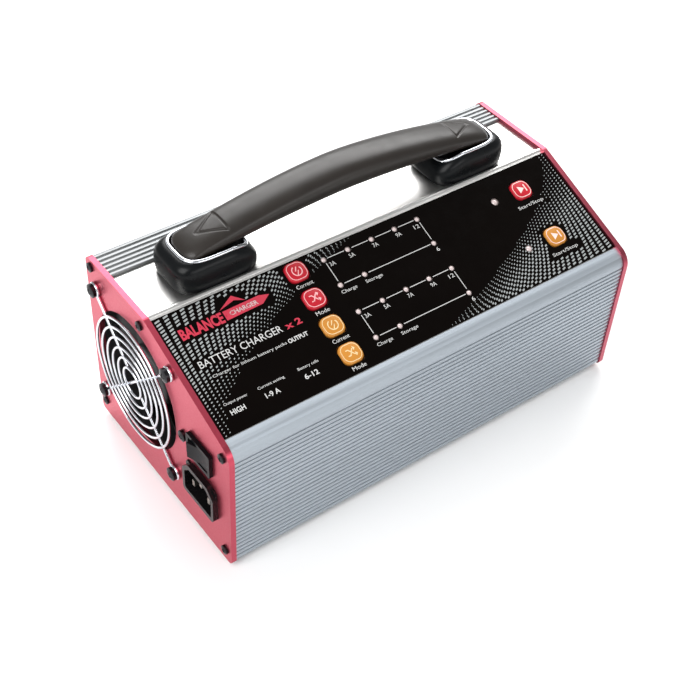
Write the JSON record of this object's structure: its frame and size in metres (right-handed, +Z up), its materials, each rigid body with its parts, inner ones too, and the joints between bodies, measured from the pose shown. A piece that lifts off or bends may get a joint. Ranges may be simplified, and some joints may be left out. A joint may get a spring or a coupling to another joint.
{
  "type": "balance battery charger",
  "caption": "Sloping-panel balance battery charger: ribbed aluminium case with red end plates, fan, mains inlet, key panel and an arched carrying handle.",
  "frame": {"origin": "middle of the case's footprint, on the surface that the rubber feet stand on", "axes": "+X along the case from the fan and mains inlet end to the battery socket end; -Y is the ribbed front wall below the sloping panel; +Z up"},
  "size_m": [0.2692, 0.132, 0.1457],
  "materials": {
    "case_silver": "satin anodised, ribbed",
    "end_plate_red": "pink-red satin anodised",
    "screw_black": "blackened steel",
    "screw_steel": "zinc plated",
    "rubber_black": "matt",
    "overlay_black": "glossy printed film",
    "key_red": "glossy",
    "key_amber": "glossy",
    "lamp_clear": "water clear",
    "grip_grey": "fine textured, warm dark grey",
    "foot_black": "satin moulded",
    "chrome_trim": "bright plated",
    "fan_black": "moulded",
    "fitting_black": "glossy moulded",
    "contact_brass": "bright",
    "copper_winding": "enamelled copper wire",
    "winding_tape": "yellow tape over the windings",
    "ferrite": "matt ferrite",
    "board_green": "solder mask over glass laminate",
    "component_black": "moulded epoxy",
    "capacitor_blue": "sleeved can",
    "capacitor_yellow": "moulded box",
    "heatsink_aluminium": "extruded, plain",
    "fuse_glass": "clear tube between plated clips",
    "wire_insulation": "coloured insulation",
    "ribbon_grey": "flat ribbon",
    "socket_ivory": "nylon"
  },
  "bodies": {
    "case": {"front_rail": "case_silver", "rear_rail": "case_silver", "top_panel": "case_silver", "base_plate": "case_silver", "base_plate_screws": "screw_steel", "inlet_end_plate": "end_plate_red", "output_end_plate": "end_plate_red", "end_plate_screws": "screw_black", "rubber_feet": "rubber_black", "feet_screws": "screw_steel", "panel_overlay": "overlay_black", "key_switches": "component_black", "indicator_lamps": "lamp_clear", "control_board": "board_green", "control_chips": "component_black", "control_ribbon": "ribbon_grey", "board_spacers": "contact_brass", "board_screws": "screw_steel", "handle_grip": "grip_grey", "handle_foot_inlet_end": "foot_black", "handle_foot_output_end": "foot_black", "handle_trims": "chrome_trim", "handle_screws": "screw_steel", "fan_guard": "chrome_trim", "fan_screws": "screw_black", "fan_frame": "fan_black", "fan_stator": "copper_winding", "mains_inlet": "fitting_black", "mains_terminals": "contact_brass", "power_switch_body": "fitting_black", "earth_screw": "screw_black", "mains_wires": "wire_insulation", "power_board": "board_green", "mains_fuse": "fuse_glass", "filter_choke": "copper_winding", "film_capacitors": "capacitor_yellow", "bridge_rectifier": "component_black", "electrolytic_capacitors": "capacitor_blue", "pfc_inductor": "copper_winding", "heatsinks": "heatsink_aluminium", "power_transistors": "component_black", "transformer_core": "ferrite", "transformer_windings": "winding_tape", "charge_board": "board_green", "charge_inductors": "copper_winding", "output_sockets": "fitting_black", "output_contacts": "contact_brass", "output_wires": "wire_insulation", "balance_board": "board_green", "balance_sockets": "socket_ivory", "balance_pins": "contact_brass", "fan_lead": "wire_insulation"},
    "current_key_1": {"current_key_1": "key_red"},
    "mode_key_1": {"mode_key_1": "key_red"},
    "current_key_2": {"current_key_2": "key_amber"},
    "mode_key_2": {"mode_key_2": "key_amber"},
    "start_key_1": {"start_key_1": "key_red"},
    "start_key_2": {"start_key_2": "key_amber"},
    "fan_rotor": {"fan_rotor": "fan_black"},
    "power_switch_rocker": {"power_switch_rocker": "fitting_black"}
  },
  "joints": [
    {"name": "current_key_1_press", "type": "slide", "parent": "case", "child": "current_key_1", "axis": [0, 0.3603, -0.9328], "range_m": [0, 0.0005], "stiffness_N_per_m": 2000, "springref_m": -0.0006},
    {"name": "mode_key_1_press", "type": "slide", "parent": "case", "child": "mode_key_1", "axis": [0, 0.3603, -0.9328], "range_m": [0, 0.0005], "stiffness_N_per_m": 2000, "springref_m": -0.0006},
    {"name": "current_key_2_press", "type": "slide", "parent": "case", "child": "current_key_2", "axis": [0, 0.3603, -0.9328], "range_m": [0, 0.0005], "stiffness_N_per_m": 2000, "springref_m": -0.0006},
    {"name": "mode_key_2_press", "type": "slide", "parent": "case", "child": "mode_key_2", "axis": [0, 0.3603, -0.9328], "range_m": [0, 0.0005], "stiffness_N_per_m": 2000, "springref_m": -0.0006},
    {"name": "start_key_1_press", "type": "slide", "parent": "case", "child": "start_key_1", "axis": [0, 0.3603, -0.9328], "range_m": [0, 0.0005], "stiffness_N_per_m": 2000, "springref_m": -0.0006},
    {"name": "start_key_2_press", "type": "slide", "parent": "case", "child": "start_key_2", "axis": [0, 0.3603, -0.9328], "range_m": [0, 0.0005], "stiffness_N_per_m": 2000, "springref_m": -0.0006},
    {"name": "fan_spin", "type": "hinge", "parent": "case", "child": "fan_rotor", "pos_m": [-0.1125, 0.021, 0.061], "axis": [1, 0, 0], "continuous": true},
    {"name": "power_switch_tilt", "type": "hinge", "parent": "case", "child": "power_switch_rocker", "pos_m": [-0.128, -0.0405, 0.0635], "axis": [0, 0, -1], "range_deg": [0, 22]}
  ]
}
